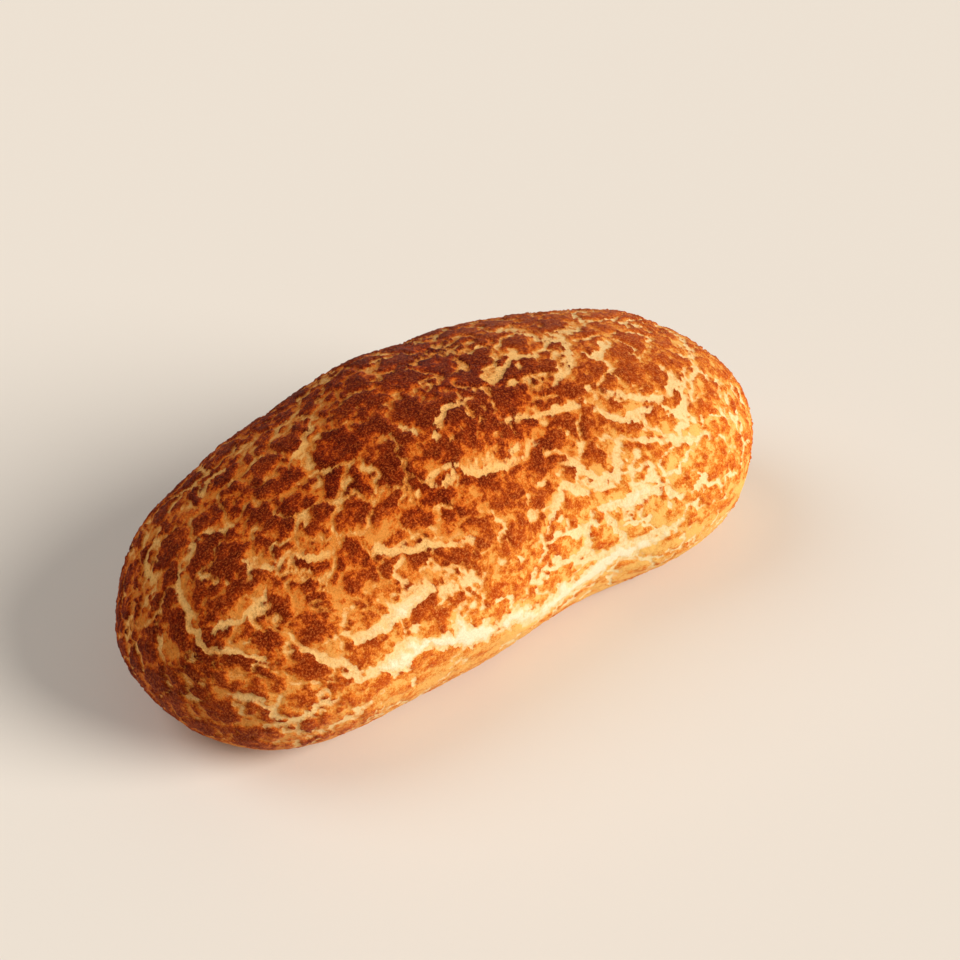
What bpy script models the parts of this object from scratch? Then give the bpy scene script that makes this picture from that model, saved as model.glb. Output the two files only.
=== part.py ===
"""Tiger bread loaf: a long, slightly bowed bloomer under a crackled rice-paste crust.

Metres, +Z up. The loaf lies along X on the plane z = 0 and is centred on the origin in X and Y.
It is one closed solid: a smooth baked form, torn and crackled on its top and sides, flat below.
"""

import math

import bmesh
import bpy
import numpy as np
from mathutils import Vector, noise

# Driving dimensions of the baked form
LENGTH = 0.300
WIDTH = 0.142
HEIGHT = 0.105
WIDEST_LEVEL = 0.0375
BASE_WIDTH_SHARE = 0.62
BASE_LENGTH_SHARE = 0.74

# How blunt the ends are: 2 is an ellipse, more is squarer
PLAN_BLUNTNESS = 3.5
CROWN_BLUNTNESS_NEAR = 1.85
CROWN_BLUNTNESS_FAR = 2.5
SIDE_FULLNESS = 0.85

# The dough's own unevenness: the bow of its centre line, and swells as (place, height)
BOW = -0.0070
SKEW = -0.0018
SWELL_REACH = 0.24
FRONT_SWELLS = ((-0.75, 0.0067), (-0.25, -0.0006), (0.20, -0.0072), (0.65, 0.0026))
BACK_SWELLS = ((-0.40, -0.0020), (0.10, 0.0012), (0.55, -0.0024))
CROWN_SWELLS = ((-0.15, 0.0047),)

# Relief of the crust: plates of dried rice paste, tears where the dough burst through, and lumps
PLATE = 0.0195
PLATE_STRETCH = 1.3
CRACK_SHARE = 0.26
CRACK_DEPTH = 0.0017
WANDER = 0.016
WANDER_REACH = 0.0055
WANDER_SHIFTS = (Vector((0.0, 0.0, 0.0)), Vector((19.3, 7.1, 3.7)), Vector((5.9, 23.3, 11.9)))
TEAR_HALF_WIDTH = 0.0042
TEAR_DEPTH = 0.0026
TEAR_FRAY = 0.0020
FRAY_SIZE = 0.0090
WALL_SLOPE = 1.6
LUMP_HEIGHT = 0.0016
LUMP_SIZE = 0.034
PASTE_FOOT = 0.010
PASTE_FULL = 0.024

# Tears as (place along the loaf from -1 to 1, turn round it in degrees from the back)
TEARS = (
    ((-0.76, 87), (-0.82, 89), (-0.86, 95), (-0.88, 113), (-0.88, 130), (-0.83, 134), (-0.77, 145)),
    ((-0.80, 63), (-0.87, 67), (-0.91, 87)),
    ((-0.70, 144), (-0.61, 159), (-0.59, 167), (-0.52, 172)),
    ((-0.56, 153), (-0.48, 154), (-0.34, 153)),
    ((-0.52, 171), (-0.44, 173), (-0.37, 169), (-0.24, 178), (-0.08, 185), (0.04, 196)),
    ((0.04, 196), (0.14, 194), (0.20, 188), (0.28, 181), (0.36, 182), (0.45, 176)),
    ((0.17, 141), (0.24, 160), (0.28, 168), (0.34, 178)),
    ((-0.45, 123), (-0.38, 136), (-0.29, 138), (-0.16, 146)),
    ((-0.23, 124), (-0.14, 120), (-0.03, 129), (0.02, 127)),
    ((-0.15, 105), (-0.10, 104), (0.02, 102), (0.08, 108)),
    ((0.06, 157), (0.10, 149), (0.15, 145), (0.23, 152)),
    ((0.40, 92), (0.28, 106), (0.27, 129), (0.38, 150)),
    ((-0.83, 186), (-0.76, 180), (-0.65, 176)),
    ((-0.62, 20), (-0.45, 8), (-0.22, 10), (0.02, -4), (0.24, 3), (0.47, -6), (0.66, 6)),
    ((-0.30, 42), (-0.12, 34), (0.10, 40), (0.22, 30)),
    ((0.62, 128), (0.74, 112), (0.83, 90), (0.84, 62)),
    ((0.50, 58), (0.62, 40), (0.72, 34)),
)
TEAR_STEPS = 12

# Mesh density: the cell of the fine grid, and the triangles left after thinning
CELL = 0.0019
TOP_CELLS = 46
SIDE_CELLS = 46
CAP_SHARE = 0.115
TRIANGLES = 11500
BASE_CUT = 0.0003
SLIVER = 0.00005
EPSILON = 1e-6
BACK_FOOT = math.radians(-90.0) + EPSILON
FRONT_FOOT = math.radians(270.0) - EPSILON
SHARP_ANGLE = math.radians(50)

CRUST_COLOUR = (0.42, 0.155, 0.038, 1.0)
CRUST_ROUGHNESS = 0.62


def clear_scene():
    for old in list(bpy.data.objects):
        bpy.data.objects.remove(old, do_unlink=True)


def swell(place, swells):
    """Height of the given swells at a place along the loaf."""
    return sum(height * math.exp(-(((place - middle) / SWELL_REACH) ** 2)) for middle, height in swells)


def superellipse(place, bluntness):
    """Share of the full breadth left at a place from -1 to 1 along the loaf."""
    return math.sqrt(max(1.0 - min(abs(place), 1.0) ** bluntness, 0.0))


def centre_line(place):
    """Sideways bow of the loaf's centre line."""
    return BOW * (place**2 - 0.33) + SKEW * (place**3 - 0.6 * place)


def half_width(place, front):
    """Half breadth at the widest level, on the front or the back of the centre line."""
    swells = FRONT_SWELLS if front else BACK_SWELLS
    return (WIDTH / 2 + swell(place, swells)) * superellipse(place, PLAN_BLUNTNESS)


def base_level(place):
    """Height of the underside, which lifts off the table towards both ends."""
    over = max(abs(place) - BASE_LENGTH_SHARE, 0.0) / (1.0 - BASE_LENGTH_SHARE)
    return WIDEST_LEVEL * (1.0 - math.sqrt(max(1.0 - over**2, 0.0)))


def form_point(place, turn):
    """Point of the smooth form: turn 0 is the back side, 90 degrees the crown, 180 the front."""
    across, rise = math.cos(turn), math.sin(turn)
    side = -1.0 if across < 0.0 else 1.0
    widest = half_width(place, across < 0.0)
    if rise >= 0.0:
        reach = widest * abs(across) ** SIDE_FULLNESS
        bluntness = CROWN_BLUNTNESS_NEAR if place < 0.0 else CROWN_BLUNTNESS_FAR
        crown = HEIGHT - WIDEST_LEVEL + swell(place, CROWN_SWELLS)
        level = WIDEST_LEVEL + crown * superellipse(place, bluntness) * rise
    else:
        foot = widest * BASE_WIDTH_SHARE * superellipse(place, 2.0)
        reach = foot + (widest - foot) * abs(across)
        level = WIDEST_LEVEL + (WIDEST_LEVEL - base_level(place)) * rise
    return Vector((place * LENGTH / 2, side * reach + centre_line(place), level))


def base_point(place, share):
    """Point of the flat underside, from its front edge (-1) to its back edge (1)."""
    front = form_point(place, FRONT_FOOT)
    back = form_point(place, BACK_FOOT)
    return front.lerp(back, (share + 1.0) / 2.0)


def even_steps(curve, low, high, samples=600):
    """Parameter of a curve as a function of the share of the curve's length."""
    values = np.linspace(low, high, samples)
    points = np.array([curve(value) for value in values])
    runs = np.linalg.norm(np.diff(points, axis=0), axis=1)
    shares = np.concatenate(([0.0], np.cumsum(runs))) / runs.sum()
    return lambda share: float(np.interp(share, shares, values))


def plan_outline(angle):
    place = -math.cos(angle)
    return place * LENGTH / 2, WIDTH / 2 * superellipse(place, PLAN_BLUNTNESS)


def section_outline(turn):
    return form_point(0.0, turn)[1:]


def gridded_box():
    """A closed box of even cells, whose faces become the sides, crown, base and ends of the loaf."""
    bm = bmesh.new()
    bmesh.ops.create_cube(bm, size=2.0)
    body_cells = round((1.0 - 2.0 * CAP_SHARE) * (LENGTH + WIDTH * 0.7) / CELL)
    for axis, cells in enumerate((body_cells, TOP_CELLS, SIDE_CELLS)):
        along = [e for e in bm.edges if abs((e.verts[0].co - e.verts[1].co)[axis]) > EPSILON]
        bmesh.ops.subdivide_edges(bm, edges=along, cuts=cells - 1, use_grid_fill=True)
    return bm


def rounded(bm):
    """Wrap the box round the baked form, its cells spread evenly over the skin."""
    angle_at = even_steps(plan_outline, 0.0, math.pi)
    turn_at = even_steps(section_outline, BACK_FOOT, FRONT_FOOT)
    ring_cells = TOP_CELLS + 2 * SIDE_CELLS
    for vert in bm.verts:
        x, y, z = vert.co
        ring = max(abs(y), abs(z))
        if abs(x) > 1.0 - EPSILON:
            share = CAP_SHARE * ring if x < 0.0 else 1.0 - CAP_SHARE * ring
        else:
            share = CAP_SHARE + (1.0 - 2.0 * CAP_SHARE) * (x + 1.0) / 2.0
        place = -math.cos(angle_at(share))
        if ring < EPSILON:
            vert.co = form_point(place, math.radians(90.0))
            continue
        y, z = y / ring, z / ring
        if z < -1.0 + EPSILON:
            vert.co = base_point(place, y)
            continue
        if abs(z) < 1.0 - EPSILON:
            step = SIDE_CELLS * (z + 1.0) / 2.0
            step = step if y > 0.0 else ring_cells - step
        else:
            step = SIDE_CELLS + TOP_CELLS * (1.0 - y) / 2.0
        vert.co = form_point(place, turn_at(step / ring_cells))


def smooth_step(value):
    value = min(max(value, 0.0), 1.0)
    return value * value * (3.0 - 2.0 * value)


def tear_points():
    """Points along every tear, lying on the smooth form."""
    points = []
    for tear in TEARS:
        for start, end in zip(tear, tear[1:]):
            for share in np.linspace(0.0, 1.0, TEAR_STEPS):
                place, turn = np.array(start) + (np.array(end) - np.array(start)) * share
                points.append(form_point(place, math.radians(turn)))
    return np.array(points)


def tear_depth(point, tears):
    """Depth of the nearest tear, frayed along its lips."""
    gap = float(np.sqrt(((tears - np.array(point)) ** 2).sum(axis=1).min()))
    gap += TEAR_FRAY * noise.noise(point / FRAY_SIZE)
    return TEAR_DEPTH * smooth_step(WALL_SLOPE * (1.0 - gap / TEAR_HALF_WIDTH))


def wander(point):
    """Drift of the crackle's lines, which keeps them from running straight."""
    return Vector([WANDER_REACH * noise.noise(point / WANDER + shift) for shift in WANDER_SHIFTS])


def crack_depth(point):
    """Depth of the crackle between the plates of paste."""
    bent = point + wander(point)
    bent.x /= PLATE_STRETCH
    near, far = noise.voronoi(bent / PLATE)[0][:2]
    return CRACK_DEPTH * smooth_step(WALL_SLOPE * (1.0 - (far - near) / CRACK_SHARE))


def crackled(bm):
    """Press the tears and the crackle into the lumpy skin, fading out towards the foot."""
    tears = tear_points()
    bm.normal_update()
    for vert in bm.verts:
        paste = smooth_step((vert.co.z - PASTE_FOOT) / (PASTE_FULL - PASTE_FOOT))
        if paste > 0.0:
            depth = max(tear_depth(vert.co, tears), crack_depth(vert.co))
            depth += LUMP_HEIGHT * noise.noise(vert.co / LUMP_SIZE)
            vert.co -= vert.normal * depth * paste


def thinned(bm):
    """Collapse the fine grid to the wanted number of triangles, keeping the creases."""
    bmesh.ops.triangulate(bm, faces=bm.faces[:])
    mesh = bpy.data.meshes.new("fine_skin")
    bm.to_mesh(mesh)
    fine = bpy.data.objects.new("fine_skin", mesh)
    bpy.context.scene.collection.objects.link(fine)
    thin = fine.modifiers.new("thin", "DECIMATE")
    thin.ratio = TRIANGLES / len(bm.faces)
    bm.free()
    evaluated = fine.evaluated_get(bpy.context.evaluated_depsgraph_get())
    coarse = bmesh.new()
    coarse.from_mesh(evaluated.to_mesh())
    evaluated.to_mesh_clear()
    bpy.data.objects.remove(fine, do_unlink=True)
    return coarse


def flat_based(bm):
    """Slice the underside flat and close it with one face."""
    everything = bm.verts[:] + bm.edges[:] + bm.faces[:]
    cut = bmesh.ops.bisect_plane(
        bm, geom=everything, plane_co=(0.0, 0.0, BASE_CUT), plane_no=(0.0, 0.0, 1.0), clear_inner=True
    )
    rim = [item for item in cut["geom_cut"] if isinstance(item, bmesh.types.BMEdge)]
    bmesh.ops.edgeloop_fill(bm, edges=rim)
    bmesh.ops.dissolve_degenerate(bm, dist=SLIVER, edges=bm.edges[:])
    bmesh.ops.recalc_face_normals(bm, faces=bm.faces[:])


def centred(bm):
    """Stand the loaf on z = 0 with its box centred on the origin."""
    corners = np.array([vert.co for vert in bm.verts])
    low, high = corners.min(axis=0), corners.max(axis=0)
    shift = Vector((-(low[0] + high[0]) / 2, -(low[1] + high[1]) / 2, -low[2]))
    bmesh.ops.translate(bm, verts=bm.verts[:], vec=shift)


def crust_material():
    crust = bpy.data.materials.new("crust")
    crust.use_nodes = True
    shader = crust.node_tree.nodes["Principled BSDF"]
    shader.inputs["Base Color"].default_value = CRUST_COLOUR
    shader.inputs["Roughness"].default_value = CRUST_ROUGHNESS
    shader.inputs["Metallic"].default_value = 0.0
    return crust


def build_loaf():
    bm = gridded_box()
    rounded(bm)
    crackled(bm)
    bm = thinned(bm)
    flat_based(bm)
    centred(bm)
    mesh = bpy.data.meshes.new("loaf")
    bm.to_mesh(mesh)
    bm.free()
    mesh.materials.append(crust_material())
    mesh.shade_smooth()
    mesh.set_sharp_from_angle(angle=SHARP_ANGLE)
    loaf = bpy.data.objects.new("loaf", mesh)
    bpy.context.scene.collection.objects.link(loaf)
    return loaf


clear_scene()
build_loaf()
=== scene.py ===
# %% [markdown]
# # A tiger bread loaf
#
# Tiger bread is a long white loaf brushed with a paste of rice flour before it bakes. The paste
# dries and browns first, the dough under it goes on swelling, and the paste cracks into dark
# plates over gold dough. This lesson models that crust: one smooth baked form, a field that says
# how thick the paste is at each point, and a material that browns where the paste is thick.
#
# The loaf's plain solid comes from the frame. The fine loaf that is made here takes its place.

# %% Load the frame
import math
from collections import namedtuple

import bmesh
import bpy
import numpy as np
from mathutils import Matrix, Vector, kdtree, noise


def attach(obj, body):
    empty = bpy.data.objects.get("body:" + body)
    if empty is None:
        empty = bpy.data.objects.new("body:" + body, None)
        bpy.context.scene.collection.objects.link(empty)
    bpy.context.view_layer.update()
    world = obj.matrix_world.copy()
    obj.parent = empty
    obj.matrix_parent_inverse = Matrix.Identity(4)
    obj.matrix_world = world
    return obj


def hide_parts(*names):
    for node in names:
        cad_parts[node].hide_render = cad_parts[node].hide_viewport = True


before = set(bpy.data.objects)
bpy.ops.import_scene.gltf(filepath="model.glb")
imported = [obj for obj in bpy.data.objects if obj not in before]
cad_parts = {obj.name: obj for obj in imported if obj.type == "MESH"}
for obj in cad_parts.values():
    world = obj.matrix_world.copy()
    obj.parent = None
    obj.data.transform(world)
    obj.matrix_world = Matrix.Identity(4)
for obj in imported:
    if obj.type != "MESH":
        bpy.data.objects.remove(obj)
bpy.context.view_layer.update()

MM = 0.001

# %% [markdown]
# ## The baked form
#
# Seen from above, a moulded loaf is a superellipse: straighter along its sides and blunter at its
# ends than an ellipse. Its crown is an arch, its sides curl under to a flat base, and the base
# lifts at both ends. Sculpting by hand could give that form, but a formula keeps every size named,
# and the fine crust can then be measured from it. `place` runs from -1 to 1 along the loaf, and
# `turn` goes round it: 0 at the back, a quarter turn at the crown, a half turn at the front.

# %% Sizes of the baked form
LENGTH, WIDTH, HEIGHT = 300 * MM, 142 * MM, 105 * MM
WIDEST_LEVEL = 37.5 * MM
BASE_WIDTH_SHARE, BASE_LENGTH_SHARE = 0.62, 0.74
PLAN_BLUNTNESS, SIDE_FULLNESS = 3.5, 0.85
CROWN_BLUNTNESS_NEAR, CROWN_BLUNTNESS_FAR = 1.85, 2.5
BOW, SKEW = -7.0 * MM, -1.8 * MM
SWELL_REACH = 0.24
FRONT_SWELLS = ((-0.75, 6.7 * MM), (-0.25, -0.6 * MM), (0.20, -7.2 * MM), (0.65, 2.6 * MM))
BACK_SWELLS = ((-0.40, -2.0 * MM), (0.10, 1.2 * MM), (0.55, -2.4 * MM))
CROWN_SWELLS = ((-0.15, 4.7 * MM),)
BACK_FOOT, FRONT_FOOT = math.radians(-90), math.radians(270)


# %% The form as a formula
def swell(place, swells):
    """Height of the dough's own swells at places along the loaf."""
    return sum(height * np.exp(-(((place - middle) / SWELL_REACH) ** 2)) for middle, height in swells)


def superellipse(place, bluntness):
    """Share of the full breadth that is left at a place along the loaf."""
    return np.sqrt(np.maximum(1 - np.minimum(np.abs(place), 1) ** bluntness, 0))


def centre_line(place):
    """Sideways bow of the loaf."""
    return BOW * (place**2 - 0.33) + SKEW * (place**3 - 0.6 * place)


def form_points(place, turn):
    """Points of the smooth form, for arrays of places and turns."""
    across, rise = np.cos(turn), np.sin(turn)
    swells = np.where(across < 0, swell(place, FRONT_SWELLS), swell(place, BACK_SWELLS))
    widest = (WIDTH / 2 + swells) * superellipse(place, PLAN_BLUNTNESS)
    foot = widest * BASE_WIDTH_SHARE * superellipse(place, 2)
    over = np.maximum(np.abs(place) - BASE_LENGTH_SHARE, 0) / (1 - BASE_LENGTH_SHARE)
    base = WIDEST_LEVEL * (1 - np.sqrt(np.maximum(1 - over**2, 0)))
    bluntness = np.where(place < 0, CROWN_BLUNTNESS_NEAR, CROWN_BLUNTNESS_FAR)
    crown = (HEIGHT - WIDEST_LEVEL + swell(place, CROWN_SWELLS)) * superellipse(place, bluntness)
    upper = rise >= 0
    arch = widest * np.abs(across) ** SIDE_FULLNESS
    under = foot + (widest - foot) * np.abs(across)
    reach = np.where(upper, arch, under)
    level = WIDEST_LEVEL + np.where(upper, crown, WIDEST_LEVEL - base) * rise
    side = np.where((turn > BACK_FOOT + math.pi), -1.0, 1.0)
    return np.stack((place * LENGTH / 2, side * reach + centre_line(place), level), axis=-1)


crown_top = form_points(np.array([CROWN_SWELLS[0][0]]), np.array([math.pi / 2]))[0, 2]
print("crown height in mm", round(float(crown_top) / MM, 1))

# %% [markdown]
# ## An even skin of small cells
#
# A UV sphere pinches at its poles and would waste cells there. A box cut into even cells has none,
# so the loaf starts as one: the box's base becomes the flat base, three sides wrap round the loaf,
# and its two ends close over the noses. The cells are spread by length along two measured
# outlines, so that they come out a little over a millimetre wide on the body. They are finer at
# the noses, where the rings close up.

# %% Cut a box into cells
CELL = 1.05 * MM
CROWN_GIRTH, SIDE_GIRTH, PLAN_GIRTH = 88 * MM, 88 * MM, 400 * MM
TOP_CELLS, SIDE_CELLS = round(CROWN_GIRTH / CELL), round(SIDE_GIRTH / CELL)
CAP_SHARE = 0.115
BODY_CELLS = round((1 - 2 * CAP_SHARE) * PLAN_GIRTH / CELL)
TINY, NO_RING = 1e-6, 1e-9


def gridded_box():
    """A closed box whose faces are cut into even cells."""
    bm = bmesh.new()
    bmesh.ops.create_cube(bm, size=2)
    for axis, cells in enumerate((BODY_CELLS, TOP_CELLS, SIDE_CELLS)):
        along = [e for e in bm.edges if abs((e.verts[0].co - e.verts[1].co)[axis]) > MM]
        bmesh.ops.subdivide_edges(bm, edges=along, cuts=cells - 1, use_grid_fill=True)
    return bm


loaf_mesh = gridded_box()
print("cells", len(loaf_mesh.faces))


# %% Wrap the box round the form
def even_steps(low, high, outline, samples=2000):
    """Values and shares of length along an outline, to look up one from the other."""
    values = np.linspace(low, high, samples)
    runs = np.linalg.norm(np.diff(outline(values), axis=0), axis=1)
    return np.concatenate(([0.0], np.cumsum(runs))) / runs.sum(), values


def plan_outline(angle):
    """The loaf's edge seen from above."""
    place = -np.cos(angle)
    return np.stack((place * LENGTH / 2, WIDTH / 2 * superellipse(place, PLAN_BLUNTNESS)), axis=-1)


def section_outline(turn):
    """The edge of a slice through the loaf's middle."""
    return form_points(np.zeros_like(turn), turn)


def box_to_loaf(box):
    """Place, turn and base share of every point of the box."""
    x, y, z = box.T
    ring = np.maximum(np.abs(y), np.abs(z))
    ends = np.where(x < 0, CAP_SHARE * ring, 1 - CAP_SHARE * ring)
    share = np.where(np.abs(x) > 1 - TINY, ends, CAP_SHARE + (1 - 2 * CAP_SHARE) * (x + 1) / 2)
    place = -np.cos(np.interp(share, *even_steps(0, math.pi, plan_outline)))
    y, z = y / np.maximum(ring, NO_RING), z / np.maximum(ring, NO_RING)
    around = TOP_CELLS + 2 * SIDE_CELLS
    up_side = SIDE_CELLS * (z + 1) / 2
    step = np.where(y > 0, up_side, around - up_side)
    step = np.where(z > 1 - TINY, SIDE_CELLS + TOP_CELLS * (1 - y) / 2, step)
    shares_and_turns = even_steps(BACK_FOOT + TINY, FRONT_FOOT - TINY, section_outline)
    turn = np.interp(step / around, *shares_and_turns)
    base = np.where(z < -1 + TINY, y, np.nan)
    return place, turn, base


box = np.array([v.co for v in loaf_mesh.verts], dtype=float)
place, turn, base = box_to_loaf(box)
on_base = ~np.isnan(base)
skin = form_points(place, turn)
base_places, one_each = place[on_base], np.ones(on_base.sum())
front = form_points(base_places, FRONT_FOOT * one_each)
back = form_points(base_places, (BACK_FOOT + TINY) * one_each)
skin[on_base] = front + (back - front) * ((base[on_base] + 1) / 2)[:, None]
low, high = skin.min(axis=0), skin.max(axis=0)
CENTRE_SHIFT = np.array((-(low[0] + high[0]) / 2, -(low[1] + high[1]) / 2, -low[2]))
for vert, point in zip(loaf_mesh.verts, skin):
    vert.co = point
loaf_mesh.normal_update()
normals = np.array([v.normal for v in loaf_mesh.verts], dtype=float)
print("smooth loaf in mm", (high - low).round(4) / MM, "shift in mm", CENTRE_SHIFT.round(5) / MM)

# %% [markdown]
# ## Tears
#
# Where the dough burst, the paste has parted for good, and pale soft dough shows. These tears are
# landmarks of the loaf. Noise could scatter them by chance, but then none would lie where this loaf
# has it, so each is a short run of listed points with its own half width.

# %% The tears as paths on the form
# (half width, then places along the loaf and turns round it in degrees)
TEARS = (
    (1.2 * MM, (-0.76, 87), (-0.82, 89), (-0.86, 95), (-0.88, 113),
     (-0.88, 130), (-0.83, 134), (-0.77, 145)),
    (1.0 * MM, (-0.80, 63), (-0.87, 67), (-0.91, 87)),
    (1.3 * MM, (-0.70, 144), (-0.66, 152), (-0.61, 159), (-0.59, 167), (-0.52, 172)),
    (2.9 * MM, (-0.56, 153), (-0.48, 154), (-0.41, 153), (-0.32, 151)),
    (5.6 * MM, (-0.52, 171), (-0.44, 173), (-0.37, 169), (-0.24, 178), (-0.08, 185), (0.04, 198)),
    (5.2 * MM, (-0.16, 180), (0.04, 194), (0.14, 194), (0.20, 188),
     (0.28, 181), (0.36, 182), (0.45, 176)),
    (2.1 * MM, (0.22, 159), (0.29, 159), (0.35, 159), (0.40, 158), (0.46, 157)),
    (1.5 * MM, (0.24, 161), (0.28, 170), (0.33, 179), (0.38, 178), (0.43, 176), (0.49, 176)),
    (1.1 * MM, (0.19, 172), (0.18, 165), (0.21, 161)),
    (1.2 * MM, (0.06, 169), (0.12, 173), (0.16, 172), (0.21, 177)),
    (1.0 * MM, (-0.36, 133), (-0.38, 138), (-0.41, 141), (-0.38, 147)),
    (1.2 * MM, (-0.45, 123), (-0.40, 130), (-0.36, 136), (-0.29, 138), (-0.16, 146)),
    (1.4 * MM, (-0.22, 120), (-0.15, 119), (-0.13, 122), (-0.09, 126),
     (-0.05, 127), (0.00, 128), (0.08, 127)),
    (1.0 * MM, (-0.14, 120), (-0.18, 125), (-0.23, 123)),
    (1.3 * MM, (-0.17, 110), (-0.14, 108), (-0.10, 104), (-0.07, 102), (0.02, 101)),
    (0.9 * MM, (-0.21, 98), (-0.18, 103), (-0.15, 106)),
    (1.3 * MM, (0.04, 113), (0.11, 115), (0.19, 117), (0.24, 118), (0.31, 117), (0.34, 121)),
    (1.1 * MM, (0.11, 97), (0.17, 93), (0.24, 91), (0.30, 92)),
    (1.1 * MM, (0.01, 124), (0.04, 124), (0.12, 125)),
    (1.3 * MM, (-0.83, 186), (-0.76, 180), (-0.69, 175), (-0.65, 176)),
    (1.3 * MM, (0.06, 157), (0.10, 149), (0.15, 145), (0.23, 152)),
    (1.4 * MM, (0.18, 136), (0.22, 143), (0.25, 150), (0.30, 146), (0.33, 139), (0.37, 135)),
    (1.2 * MM, (0.40, 145), (0.43, 156), (0.46, 160), (0.52, 164)),
    (1.0 * MM, (0.37, 135), (0.42, 138), (0.50, 139), (0.58, 143), (0.65, 145)),
    (1.0 * MM, (0.31, 117), (0.36, 125), (0.41, 128), (0.49, 126)),
    (1.0 * MM, (0.32, 78), (0.35, 88), (0.40, 91), (0.37, 97), (0.31, 103), (0.25, 108)),
    (0.9 * MM, (0.39, 115), (0.44, 118), (0.47, 122), (0.56, 123)),
    (1.2 * MM, (-0.85, 121), (-0.79, 122), (-0.74, 122), (-0.68, 119)),
    (0.9 * MM, (-0.78, 86), (-0.74, 87), (-0.70, 90), (-0.66, 92)),
    (0.9 * MM, (-0.34, 78), (-0.37, 83), (-0.41, 86), (-0.46, 88), (-0.49, 91)),
    (0.8 * MM, (-0.37, 68), (-0.42, 72), (-0.45, 75)),
    (0.9 * MM, (-0.87, 162), (-0.82, 165), (-0.78, 181)),
    (0.8 * MM, (-0.94, 104), (-0.96, 118), (-0.96, 128)),
    (0.9 * MM, (-0.59, 69), (-0.64, 67), (-0.69, 73)),
    (0.9 * MM, (-0.71, 102), (-0.70, 111), (-0.60, 116), (-0.53, 121)),
    (1.9 * MM, (-0.62, 20), (-0.45, 8), (-0.22, 10), (0.02, -4), (0.24, 3), (0.47, -6), (0.66, 6)),
    (1.3 * MM, (-0.30, 42), (-0.12, 34), (0.10, 40), (0.22, 30)),
    (0.8 * MM, (0.62, 128), (0.74, 112), (0.83, 90), (0.84, 62)),
    (1.1 * MM, (0.50, 58), (0.62, 40), (0.72, 34)),
)
print("tears", len(TEARS), "points placed by hand", sum(len(path) - 1 for path in TEARS))


# %% Stops along the tears
TEAR_STEPS = 24
STRIDE = 1e-4
Stop = namedtuple("Stop", "point across half_width tear at_end run")


def tear_track():
    """Points along every tear: where it is, which way is across it, its half width and its path."""
    track = []
    for index, (width, *path) in enumerate(TEARS):
        path = np.array(path)
        along = np.linspace(0, len(path) - 1, TEAR_STEPS * (len(path) - 1))
        places = np.interp(along, range(len(path)), path[:, 0])
        turns = np.interp(along, range(len(path)), np.radians(path[:, 1]))
        points = form_points(places, turns)
        ahead = form_points(places + STRIDE, turns) - points
        beside = form_points(places, turns + STRIDE) - points
        across = np.cross(np.gradient(points, axis=0), np.cross(ahead, beside))
        across /= np.linalg.norm(across, axis=1)[:, None]
        run = np.concatenate(([0.0], np.cumsum(np.linalg.norm(np.diff(points, axis=0), axis=1))))
        taper = np.sqrt(np.sin(math.pi * (0.06 + 0.88 * run / run[-1])))
        for step in range(len(points)):
            at_end = step in (0, len(points) - 1)
            half_width = width * taper[step]
            track.append(Stop(points[step], across[step], half_width, index, at_end, run[step]))
    return track


track = tear_track()
tear_tree = kdtree.KDTree(len(track))
for index, stop in enumerate(track):
    tear_tree.insert(stop.point, index)
tear_tree.balance()
print("stops", len(track))

# %% [markdown]
# ## The paste: lumps that hold together in plates
#
# Dried rice paste is a skin of small lumps, as cauliflower is. The lumps hold together in plates,
# and the cracks run between the plates and round the lumps, so their edges are scalloped. Voronoi
# cells give both: small cells for the lumps, and a large cell for the plate that each lump's middle
# lies in. A crack is then any border between lumps of two plates, or of a tear's two sides.

# %% Sample a pattern at every point of the skin
DRIFT_STARTS = (Vector((0.0, 0.0, 0.0)), Vector((19.3, 7.1, 3.7)), Vector((5.9, 23.3, 11.9)))


def sampled(pattern):
    """One value of a pattern for each point of the skin."""
    return np.array([pattern(Vector(point)) for point in skin])


def smooth_step(value, low=0.0, high=1.0):
    """0 below `low`, 1 above `high`, and a soft rise between them."""
    value = np.clip((value - low) / (high - low), 0, 1)
    return value * value * (3 - 2 * value)


def drift(point, size, reach):
    """A shift that changes smoothly from point to point, and the same in every run."""
    return Vector([reach * noise.noise(point / size + start) for start in DRIFT_STARTS])


def sway(point):
    """Bends space a little, so that no crack runs straight."""
    return drift(point, 14 * MM, 2.2 * MM) + drift(point, 2.4 * MM, 0.6 * MM)


bent = skin + sampled(sway)
print("sway in mm", (np.abs(bent - skin).mean() / MM).round(2))


# %% What each lump belongs to
LUMP_SIZE, PLATE_SIZE, PLATE_STRETCH = 3.3 * MM, 12.5 * MM, 1.35
TEAR_REACH = 5 * MM
LOST_SHARE, LOST_EDGE = 0.008, 0.3 * MM
FAR_INSIDE = 2.4 * MM
LOST_RIM = 0.2 * MM
Lump = namedtuple("Lump", "plate tear side half_width lost chance")
lumps = {}


def lump_facts(middle):
    """What is known of a lump: its plate, its nearest tear and side of it, and its chance."""
    key = tuple(round(part, 3) for part in middle)
    if key not in lumps:
        spot = middle * (LUMP_SIZE / PLATE_SIZE)
        spot.x /= PLATE_STRETCH
        plate = noise.voronoi(spot)[1][0].freeze()
        place = middle * LUMP_SIZE
        index, distance = tear_tree.find(place)[1:]
        stop = track[index]
        side = 1 if (place - Vector(stop.point)).dot(Vector(stop.across)) > 0 else -1
        if distance >= TEAR_REACH or stop.at_end:
            side = 0
        chance = 0.5 + 0.5 * noise.cell(middle * 9.7)
        lost = chance < LOST_SHARE
        lumps[key] = Lump(plate, stop.tear, side, stop.half_width, lost, chance)
    return lumps[key]


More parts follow.
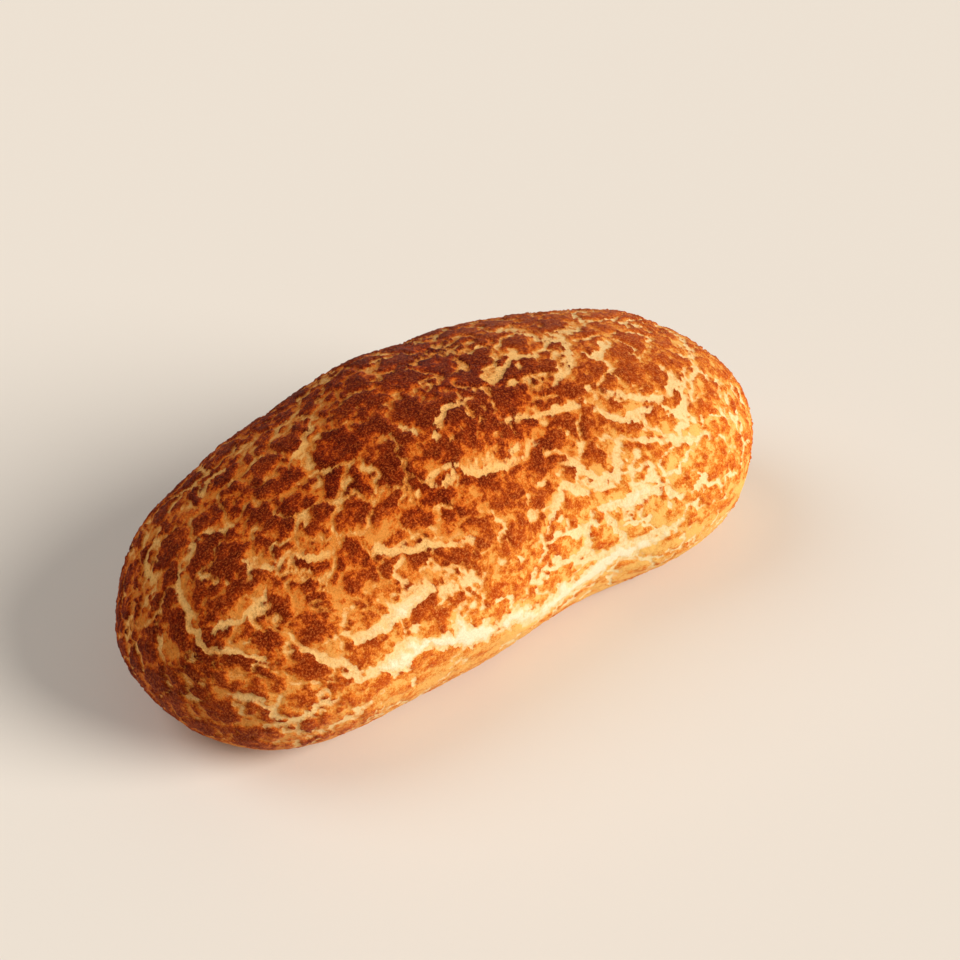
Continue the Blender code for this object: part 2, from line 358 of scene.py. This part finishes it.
def opening(here, there):
    """Half width of the crack between two lumps, or None where they hold together."""
    if here.side * there.side < 0 and here.tear == there.tear:
        return (here.half_width + there.half_width) / 2
    if here.lost != there.lost:
        return LOST_EDGE
    if here.plate != there.plate:
        return (0.15 + 0.75 * noise.cell((here.plate + there.plate) * 5.3)) * MM
    return None


def crack(point):
    """How far inside the paste's edge, the plate's rim and the lump's seam a point is, and its chance."""
    spot = Vector(point) / LUMP_SIZE
    distances, middles = noise.voronoi(spot)
    here = lump_facts(middles[0])
    inside, rim, seam = FAR_INSIDE, FAR_INSIDE, FAR_INSIDE
    for distance, middle in zip(distances[1:], middles[1:]):
        there = lump_facts(middle)
        border = LUMP_SIZE * (distance**2 - distances[0] ** 2) / (2 * (middle - middles[0]).length)
        half = opening(here, there)
        seam = min(seam, border)
        if half is not None:
            rim = min(rim, border)
            inside = min(inside, border if here.lost else border - half)
    if here.lost:
        inside = max(-inside, -LOST_RIM) - LOST_RIM
    return inside, rim, seam, here.chance


inside, rim, seam, chance = np.array([crack(point) for point in bent]).T / MM
chance *= MM  # a share, not a length, so it goes back to its own scale
print("open skin", round(float((inside < 0).mean()), 3), "lumps looked up", len(lumps))

# %% [markdown]
# ## How brown the bake is
#
# An oven browns the crown most, and the sides that face its door or another loaf least. `bake` says
# how dark the paste has gone, so that one material can run from near-black plates on the crown to
# orange ones at the pale end. Painted weights could hold it, but a formula on `place` and `turn` is
# smooth, and it still fits when the form is changed.

# %% The bake field
openness = sampled(lambda p: noise.fractal(p / (24 * MM), 0.8, 2.0, 3))
swells = sampled(lambda p: noise.noise(p / (34 * MM)))
girth = np.degrees(turn)
bake = 0.95 - (0.74 + 0.10 * smooth_step(girth, 100, 150)) * smooth_step(place, -0.05, 0.88)
bake -= smooth_step(girth, 105, 180) * (0.22 + 0.48 * smooth_step(place, -0.95, -0.45))
bake += 0.10 * swells + 0.10 * openness
pale = np.exp(-(((place - 0.38) / 0.42) ** 2) - ((girth - 175) / 21) ** 2)
shaded = np.exp(-((place / 0.35) ** 2)) * smooth_step(girth, 140, 175)
bake = np.clip(bake - 0.3 * pale - 0.16 * shaded, 0, 1)
soft = smooth_step(bake, 0.35, 0.80)
print("bake at 10, 50 and 90 %", np.quantile(bake, (0.1, 0.5, 0.9)).round(2))

# %% [markdown]
# ## Patterns that break up the rule
#
# A rule alone gives an even crust, and a real one is uneven at every scale. So noise of several
# sizes is laid over it: fine noise opens some cracks and closes others, blotches make the paste
# thick and thin, grit roughens it, and fray eats at its edges. Vertex paint could do this by hand,
# but noise is quick to change, and it is the same in every run.

# %% Patterns of noise
FINE_OPENNESS_SIZE, FINE_OPENNESS_START = 7 * MM, Vector((7, 3, 1))
BLOTCH_SIZE, GRIT_SIZE, FRAY_SIZE = 9.5 * MM, 1.9 * MM, 3.2 * MM
openness_fine = sampled(
    lambda p: noise.fractal(p / FINE_OPENNESS_SIZE + FINE_OPENNESS_START, 0.8, 2.0, 2)
)
blotches = np.array([noise.fractal(Vector(p) / BLOTCH_SIZE, 0.8, 2.1, 5) for p in bent])
grit = sampled(lambda p: noise.fractal(p / GRIT_SIZE, 0.6, 2.2, 3))
fray = sampled(lambda p: noise.fractal(p / FRAY_SIZE, 0.6, 2.1, 3))
print("spread of blotches, grit, fray", [field.std().round(3) for field in (blotches, grit, fray)])

# %% [markdown]
# ## Patches that differ from the rest
#
# Some stretches of a real crust hold together in one thick plate, and others break up finely. They
# could be painted on the mesh, but a table of soft-edged patches, each with its place and its turn,
# keeps them as values that can be read and moved.

# %% Thicker and finer patches
# (place, turn), (spread along, spread round), thicker paste, wider cracks
PATCHES = (
    ((-0.09, 102), (0.17, 22), 0.30, -0.50),
    ((0.30, 92), (0.34, 32), 0.17, 0.35),
    ((-0.55, 118), (0.24, 30), -0.12, 0.25),
    ((-0.81, 108), (0.08, 14), 0.26, -0.15),
    ((-0.93, 142), (0.06, 14), 0.26, -0.25),
    ((-0.70, 62), (0.10, 12), 0.18, -0.15),
    ((-0.53, 46), (0.10, 12), -0.22, 0.30),
    ((0.05, 80), (0.10, 12), 0.15, -0.20),
)
thicker, wider = np.zeros(len(skin)), np.zeros(len(skin))
for (middle, level), (along, around), paste_more, crack_more in PATCHES:
    share = np.exp(-(((place - middle) / along) ** 2) - ((girth - level) / around) ** 2)
    thicker += paste_more * share
    wider += crack_more * share
# The far slope of the ridge gets wider cracks and thinner paste, which lightens it: partly the crust's own
# finer cracking, partly a painted sheen for sky light reflected there.
sheen_painted_far_slope = smooth_step(-girth, -88, -55)
inside = inside - 0.30 * openness - 0.25 * openness_fine - 0.20 * (1 - soft) + 0.7 * fray
inside -= wider + 0.5 * pale + 0.35 * sheen_painted_far_slope
print("patches", len(PATCHES), "open skin", (inside < 0).mean().round(3))

# %% [markdown]
# ## Tears with ragged lips
#
# A tear drawn as a plain band looks like a cut. A real one has teeth, where some plates held on
# longer than others, and the paste beside it is stretched thin. So the points are shifted a little
# before their nearest tear is looked up, the width swings along the tear, and each lip has teeth of
# its own. `strand` keeps the distance along the tear, for the pulled strands of the dough.

# %% Tears on the skin
TEAR_DRIFT_SIZE, TEAR_DRIFT_REACH = 6 * MM, 1.8 * MM
TOOTH_LENGTH, TOOTH_LEAN, LIP_APART = 4.5, 0.7, 5
NARROW_SIZE, NARROW_START = 9 * MM, Vector((0, 5, 0))
torn = bent + sampled(lambda p: drift(p, TEAR_DRIFT_SIZE, TEAR_DRIFT_REACH))
hits = [tear_tree.find(Vector(point)) for point in torn]
stops = [track[index] for nearest, index, distance in hits]
tear_width = np.array([stop.half_width / MM for stop in stops])
strand = np.array([stop.run for stop in stops])
offsets = [point - nearest for point, (nearest, index, distance) in zip(torn, hits)]
below = np.array([offset @ stop.across / MM for offset, stop in zip(offsets, stops)])
lean, lips = strand / MM + TOOTH_LEAN * below, LIP_APART * np.sign(below)
teeth = np.array([
    noise.fractal(Vector((run / TOOTH_LENGTH, lip, 0)), 0.5, 2.2, 4) for run, lip in zip(lean, lips)
])
narrow = sampled(lambda p: noise.noise(p / NARROW_SIZE + NARROW_START))
tear_width *= np.clip(1 + 0.9 * teeth + 1.1 * narrow, 0.25, 1.9)
tear_gap = np.array([distance / MM for nearest, index, distance in hits]) - tear_width
inside = np.minimum(inside, tear_gap + 0.2 + 1.3 * fray)
stretched = smooth_step(below, 0.3, 1.5) * np.exp(-np.maximum(tear_gap, 0) / 3)
tear = 1 - smooth_step(tear_gap, 0, 2.0)
print("torn skin", (tear > 0.5).mean().round(3))

# %% [markdown]
# ## How thick the paste is
#
# The paste is thickest in the middle of a plate and thins towards its rim, every lump has its own
# thickness, and the front side is streaked where it was brushed and stretched. One number for each
# point, `paste`, holds all of that. Relief and colour both read it, so dark crust is raised crust,
# which two separate textures wouldn't give.

# %% Thickness of the paste
front_side = smooth_step(girth, 158, 184) * smooth_step(place, -0.8, -0.35)
streaks = np.array([
    noise.fractal(Vector((p[0] / 22, p[1] / 6, p[2] / 6)) / MM, 0.8, 2.1, 4) for p in bent
])
blotches += (streaks - blotches) * 0.7 * front_side
by_plate = (0.14 + 0.26 * soft) * smooth_step(rim, 0.1, 2.2)
paste = 0.42 - 0.20 * soft + by_plate + 0.50 * blotches + 0.15 * grit
paste += (0.65 * (chance - 0.5) + 0.10) * smooth_step(seam, 0, 0.7) + 0.25 * (bake - 0.6)
paste += thicker
paste -= 0.14 * smooth_step(place, -0.2, 0.4) * smooth_step(girth, 100, 150)
# The far slope's thinner paste here is part of the same painted sheen.
paste += 0.35 * (1 - soft) * fray - 0.04 * pale - 0.45 * stretched - 0.12 * sheen_painted_far_slope
print("paste at 10, 50 and 90 %", np.quantile(paste, (0.1, 0.5, 0.9)).round(2))

# %% [markdown]
# ## The foot and the base
#
# The brush stops short of the foot, so the paste fades out there, and the base, which lies on the
# oven's floor, is plain golden crust. A mask by height does it: everything fades over the last
# few millimetres, and the base gets one even value of each field.

# %% Fade out towards the foot
skirt = smooth_step(girth, 172, 190) * smooth_step(place, -0.72, -0.42)
paste += skirt * (0.45 * streaks - 0.85 * paste)
foot_fade = smooth_step(skin[:, 2] / MM + 5 * openness_fine, 6 - 4 * front_side, 22 - 8 * front_side)
above = smooth_step(skin[:, 2] / MM, 0.5, 5)
foot_fade *= above
paste = np.clip(paste, -0.25, 1.25) * foot_fade + 0.2 * (1 - above)
bake += (0.6 - bake) * (1 - above)
inside += (2.4 - inside) * (1 - above)
whole = smooth_step(inside, -0.3, 0.7)
print("paste at 10, 50 and 90 % after the fade", np.quantile(paste, (0.1, 0.5, 0.9)).round(2))

# %% [markdown]
# ## Relief
#
# The crust is real relief, so each point moves along its normal: plates stand up, cracks lie lower,
# and the dough in a tear bulges a little. A Displace modifier could do it from a texture, but it
# would know nothing of the plates. Worked out point by point, the height can also be measured. The
# broad swells are the dough's own, and they are the same as the plain solid's.

# %% Raise the paste and press in the cracks
PLATE_HEIGHT, LUMP_HEIGHT, GRIT_HEIGHT = 0.95 * MM, 0.35 * MM, 0.14 * MM
TEAR_BULGE, SWELL_HEIGHT = 0.35 * MM, 1.6 * MM
plate = whole * (0.4 + 0.6 * smooth_step(paste, 0.05, 0.8))
height = PLATE_HEIGHT * (plate - 1) + TEAR_BULGE * smooth_step(-inside, 0.3, 3.0)
height += LUMP_HEIGHT * smooth_step(seam, 0, 1.5) * plate + GRIT_HEIGHT * grit
height = height * foot_fade - SWELL_HEIGHT * swells * smooth_step(skin[:, 2] / MM, 10, 24)
relief = skin + normals * height[:, None] + CENTRE_SHIFT
print("relief in mm", (height.min() / MM).round(2), (height.max() / MM).round(2))

# %% [markdown]
# ## The finished loaf
#
# The mesh takes the relief, and carries its fields as point attributes, so that the material can
# read them. A painted picture would need an unwrapped map and would blur up close. The flat base
# needs no small cells, so they are dissolved, which keeps the loaf light.


# %% Build the loaf object
def stored(mesh, name, values):
    """Keep one number for each point of the mesh under a name."""
    layer = mesh.attributes.new(name, "FLOAT", "POINT")
    layer.data.foreach_set("value", values.astype(np.float32))


def finished_loaf():
    for vert, point in zip(loaf_mesh.verts, relief):
        vert.co = point
    mesh = bpy.data.meshes.new("tiger_loaf")
    loaf_mesh.to_mesh(mesh)
    fields = {"paste": paste, "gap": 0.5 - inside / 4, "bake": bake, "tear": tear, "strand": strand}
    for name, values in fields.items():
        stored(mesh, name, values)
    shaped = bmesh.new()
    shaped.from_mesh(mesh)
    flat = [f for f in shaped.faces if max(v.co.z for v in f.verts) < 0.01 * MM]
    bmesh.ops.dissolve_faces(shaped, faces=flat, use_verts=True)
    bmesh.ops.triangulate(shaped, faces=[f for f in shaped.faces if len(f.verts) > 4])
    shaped.to_mesh(mesh)
    shaped.free()
    mesh.shade_smooth()
    piece = bpy.data.objects.new("tiger_loaf", mesh)
    bpy.context.scene.collection.objects.link(piece)
    return piece


loaf = finished_loaf()
print("triangles", sum(len(p.vertices) - 2 for p in loaf.data.polygons))

# %% [markdown]
# ## Short words for shader nodes
#
# A material in Blender is a net of nodes, and joining them one by one takes many lines. A small
# class gives each common step a short word, so that the recipe of the crust reads like a recipe.
# Colours are given as screen values from 0 to 255, which are easy to judge by eye.


# %% Colours and nodes
BLACK, WHITE = (0, 0, 0, 1), (1, 1, 1, 1)


def linear(red, green, blue):
    """A screen colour from 0 to 255 as the linear values that Blender's sockets take."""
    parts = [part / 255 for part in (red, green, blue)]
    return tuple(p / 12.92 if p <= 0.04045 else ((p + 0.055) / 1.055) ** 2.4 for p in parts) + (1.0,)


class Nodes:
    """Short words for making and joining shader nodes."""

    def __init__(self, material):
        material.use_nodes = True
        self.tree = material.node_tree
        self.shader = self.tree.nodes["Principled BSDF"]

    def add(self, kind, inputs=(), **settings):
        node = self.tree.nodes.new(kind)
        for name, value in settings.items():
            setattr(node, name, value)
        for socket, value in dict(inputs).items():
            self.give(node, socket, value)
        return node

    def give(self, node, socket, value):
        """Join a node's output to a socket, or set the socket's own value."""
        if isinstance(value, bpy.types.NodeSocket):
            self.tree.links.new(value, node.inputs[socket])
        else:
            node.inputs[socket].default_value = value

    def attribute(self, name):
        return self.add("ShaderNodeAttribute", attribute_name=name).outputs["Fac"]

    def math(self, operation, a, b):
        return self.add("ShaderNodeMath", {0: a, 1: b}, operation=operation).outputs[0]

    def noise(self, size, detail=3.0, roughness=0.6):
        coordinates = self.add("ShaderNodeTexCoord").outputs["Object"]
        settings = {"Vector": coordinates, "Scale": 1 / size, "Detail": detail, "Roughness": roughness}
        return self.add("ShaderNodeTexNoise", settings).outputs["Fac"]

    def ramp(self, value, stops):
        node = self.add("ShaderNodeValToRGB", {"Fac": value})
        elements = node.color_ramp.elements
        while len(elements) < len(stops):
            elements.new(0.5)
        for element, (position, colour) in zip(elements, stops):
            element.position = position
            element.color = colour
        return node.outputs["Color"]

    def mix(self, share, a, b, blend="MIX"):
        sockets = {0: share, 6: a, 7: b}
        settings = {"data_type": "RGBA", "blend_type": blend, "clamp_factor": True}
        return self.add("ShaderNodeMix", sockets, **settings).outputs[2]


print("dark crust as linear colour", [round(part, 3) for part in linear(98, 19, 2)])

# %% [markdown]
# ## Colours of the paste
#
# Dried paste goes from amber where it is thin to near-black where it is thick, and less far where
# the bake is weak. Two colour ramps over the paste's thickness, one for a strong bake and one for a
# weak one, are mixed by `bake`. Pale crumbs of rice flour sit on top of both.


# %% Paste
def paste_colour(n, edge, bake_value, grain):
    """Colour of the paste over its thickness, for a strong and for a weak bake."""
    dark = n.ramp(edge, (
        (0.04, linear(216, 126, 44)),
        (0.28, linear(206, 94, 20)),
        (0.41, linear(186, 71, 11)),
        (0.49, linear(138, 38, 5)),
        (0.90, linear(98, 19, 2)),
    ))
    light = n.ramp(edge, (
        (0.00, linear(236, 186, 102)),
        (0.22, linear(222, 137, 49)),
        (0.44, linear(214, 114, 34)),
        (0.54, linear(204, 90, 20)),
        (0.95, linear(182, 70, 13)),
    ))
    colour = n.mix(bake_value, light, dark)
    crumbs = n.ramp(grain, ((0.52, BLACK), (0.64, WHITE)))
    crumb_colour = n.mix(bake_value, linear(240, 178, 96), linear(204, 100, 34))
    return n.mix(n.math("MULTIPLY", crumbs, 0.40), colour, crumb_colour)


print("point fields on the loaf", sorted(a.name for a in loaf.data.attributes if a.data_type == "FLOAT"))

# %% [markdown]
# ## Colours of the open dough
#
# A thin crack shows golden skin, flecked with what is left of the paste. A wide tear shows soft
# dough, pulled into strands as it opened. Noise along `strand` alone runs across the tear, as
# pulled crumb does, where ordinary noise would only make it cloudy.


# %% Golden skin and soft dough
STRAND_SIZE = 1.4 * MM


def golden_colour(n, bake_value, fine):
    """Thin skin in the cracks, flecked with paste."""
    golden = n.mix(bake_value, linear(232, 158, 68), linear(218, 134, 54))
    flecks = n.ramp(fine, ((0.42, WHITE), (0.52, BLACK)))
    fleck_colour = n.mix(bake_value, linear(222, 130, 48), linear(178, 78, 20))
    return n.mix(n.math("MULTIPLY", flecks, 0.5), golden, fleck_colour)


def dough_colour(n, bake_value, tear_value, strand_value, coarse):
    """Soft dough in the tears, pulled into strands."""
    fresh = n.mix(bake_value, linear(234, 212, 158), linear(236, 176, 98))
    settings = {"W": n.math("MULTIPLY", strand_value, 1 / STRAND_SIZE), "Scale": 1.0, "Detail": 2.0}
    strands = n.add("ShaderNodeTexNoise", settings, noise_dimensions="1D").outputs["Fac"]
    strands = n.math("ADD", n.math("MULTIPLY", strands, 0.3), n.math("MULTIPLY", coarse, 0.7))
    strands = n.ramp(strands, ((0.46, BLACK), (0.66, WHITE)))
    strands = n.math("MULTIPLY", n.math("MULTIPLY", strands, tear_value), 0.65)
    return n.mix(strands, fresh, linear(230, 166, 86))


print("strand size in mm", round(STRAND_SIZE / MM, 2))

# %% [markdown]
# ## The whole crust
#
# Where paste ends and dough begins is settled here, by `gap` and a ragged noise that keeps the edge
# from being smooth. Speckle darkens the pores. The crust is matt and dusty, so it has hardly any
# gloss, a faint sheen for the flour, and a fine bump for the grain that is too small to model.


# %% Crust
def crust_material():
    material = bpy.data.materials.new("tiger_crust")
    n = Nodes(material)
    names = ("paste", "gap", "bake", "tear", "strand")
    paste_value, gap_value, bake_value, tear_value, strand_value = (n.attribute(name) for name in names)
    coarse = n.noise(1.9 * MM, 3)
    fine = n.noise(0.75 * MM, 3, 0.8)
    grain = n.noise(0.85 * MM, 2, 0.9)
    ragged = n.math("SUBTRACT", n.math("ADD", coarse, n.math("MULTIPLY", fine, 1.2)), 1.1)
    colour = paste_colour(n, n.math("ADD", paste_value, ragged), bake_value, grain)

    opened = n.math("ADD", gap_value, n.math("MULTIPLY", ragged, 0.20))
    golden = golden_colour(n, bake_value, fine)
    fresh = dough_colour(n, bake_value, tear_value, strand_value, coarse)
    pale_share = n.math("MULTIPLY", n.math("SUBTRACT", 1.0, bake_value), 0.09)
    depth = n.ramp(n.math("ADD", opened, pale_share), ((0.57, BLACK), (0.74, WHITE)))
    fresh = n.mix(n.math("MAXIMUM", depth, tear_value), golden, fresh)
    heart = n.math("MULTIPLY", n.math("SUBTRACT", opened, 0.86), n.math("SUBTRACT", 1.4, bake_value))
    fresh = n.mix(heart, fresh, linear(238, 226, 192))
    opened = n.ramp(opened, ((0.44, BLACK), (0.56, WHITE)))
    colour = n.mix(opened, colour, fresh)

    spot = n.mix(bake_value, (0.84, 0.60, 0.32, 1), (0.26, 0.18, 0.12, 1))
    speckle = n.mix(n.ramp(grain, ((0.38, BLACK), (0.54, WHITE))), spot, WHITE)
    covered = n.math("ADD", n.math("MULTIPLY", paste_value, 0.45), 0.40)
    less_in_gaps = n.math("SUBTRACT", 1.0, n.math("MULTIPLY", opened, 0.30))
    colour = n.mix(n.math("MULTIPLY", covered, less_in_gaps), colour, speckle, "MULTIPLY")

    bump = n.add("ShaderNodeBump", {"Strength": 0.9, "Distance": 0.5 * MM, "Height": fine})
    n.give(n.shader, "Base Color", colour)
    n.give(n.shader, "Normal", bump.outputs["Normal"])
    n.give(n.shader, "Roughness", 0.65)
    n.give(n.shader, "Specular IOR Level", 0.02)
    n.give(n.shader, "Sheen Weight", 0.07)
    n.give(n.shader, "Sheen Roughness", 0.35)
    n.give(n.shader, "Sheen Tint", (1.0, 0.92, 0.86, 1))
    return material


loaf.data.materials.append(crust_material())
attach(loaf, "root")
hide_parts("loaf")
print("nodes in the crust", len(loaf.data.materials[0].node_tree.nodes))

# %% [markdown]
# ## Floor
#
# A plain pale floor lets the crust's colours speak. It is one wide flat face, matt and without any
# gloss, because a glossy floor turns into a white mirror when it is seen at a low angle.


# %% Pale floor
def pale_floor():
    bm = bmesh.new()
    bmesh.ops.create_grid(bm, x_segments=1, y_segments=1, size=9.0)
    mesh = bpy.data.meshes.new("floor")
    bm.to_mesh(mesh)
    bm.free()
    floor = bpy.data.objects.new("floor", mesh)
    bpy.context.scene.collection.objects.link(floor)
    n = Nodes(bpy.data.materials.new("pale_floor"))
    n.give(n.shader, "Base Color", linear(226, 218, 208))
    n.give(n.shader, "Roughness", 0.9)
    n.give(n.shader, "Specular IOR Level", 0.0)
    mesh.materials.append(bpy.data.materials["pale_floor"])


pale_floor()

# %% [markdown]
# ## Light
#
# Soft light from a window shows a crackled crust best: it rakes over the relief without hard
# shadows. Far lamps with a wide angle give that, and they light every part of the loaf alike, which
# a lamp close by wouldn't. An even room light fills the shadows, and a plain wall is all that the
# camera sees of it.


# %% Soft lights and room
def soft_light(name, azimuth, elevation, spread, power, colour):
    """A broad far light that faces the loaf. Azimuth 0 is the front and 90 the far end."""
    a, e = math.radians(azimuth), math.radians(elevation)
    place = Vector((math.sin(a) * math.cos(e), -math.cos(a) * math.cos(e), math.sin(e)))
    data = bpy.data.lights.new(name, "SUN")
    data.angle = math.radians(spread)
    data.energy = power
    data.color = colour
    lamp = bpy.data.objects.new(name, data)
    lamp.location = place
    lamp.rotation_mode = "QUATERNION"
    lamp.rotation_quaternion = (-place).to_track_quat("-Z", "Y")
    bpy.context.scene.collection.objects.link(lamp)


def room(strength, wall):
    """Even light from all round, and a plain wall behind the floor."""
    world = bpy.data.worlds.new("room")
    world.use_nodes = True
    tree = world.node_tree
    light = tree.nodes["Background"]
    light.inputs["Color"].default_value = (1.0, 0.94, 0.87, 1)
    light.inputs["Strength"].default_value = strength
    seen = tree.nodes.new("ShaderNodeBackground")
    seen.inputs["Color"].default_value = wall
    either = tree.nodes.new("ShaderNodeMixShader")
    tree.links.new(tree.nodes.new("ShaderNodeLightPath").outputs["Is Camera Ray"], either.inputs[0])
    tree.links.new(light.outputs[0], either.inputs[1])
    tree.links.new(seen.outputs[0], either.inputs[2])
    tree.links.new(either.outputs[0], tree.nodes["World Output"].inputs["Surface"])
    bpy.context.scene.world = world


soft_light("window", 38, 28, 34, 4.15, (1.0, 0.96, 0.90))
soft_light("sky", 225, 50, 40, 1.0, (0.96, 0.98, 1.0))
room(0.26, linear(232, 222, 208))
bpy.context.scene.view_settings.view_transform = "Standard"

# %% [markdown]
# ## Camera
#
# The camera looks down along the loaf from its near end, so that the crown and the torn front side
# both show. It is placed by the angle it looks from and its distance to a target in the loaf, which
# is easier to correct than a location and three rotations.

# %% Camera
CAMERA_AZIMUTH, CAMERA_ELEVATION = -35.7, 40.0
CAMERA_DISTANCE = 733.6 * MM
CAMERA_TARGET = Vector((21.7, 6.6, 40.4)) * MM + Vector(CENTRE_SHIFT)
azimuth, elevation = math.radians(CAMERA_AZIMUTH), math.radians(CAMERA_ELEVATION)
level_reach = math.cos(elevation)
backward = Vector((math.sin(azimuth) * level_reach, -math.cos(azimuth) * level_reach, math.sin(elevation)))
camera_data = bpy.data.cameras.new("camera")
camera_data.lens = 63.75
camera_data.sensor_width = 36
camera = bpy.data.objects.new("camera", camera_data)
camera.location = CAMERA_TARGET + backward * CAMERA_DISTANCE
camera.rotation_mode = "QUATERNION"
camera.rotation_quaternion = (-backward).to_track_quat("-Z", "Y")
bpy.context.scene.collection.objects.link(camera)
bpy.context.scene.camera = camera
print("camera height in mm", round(camera.location.z / MM))
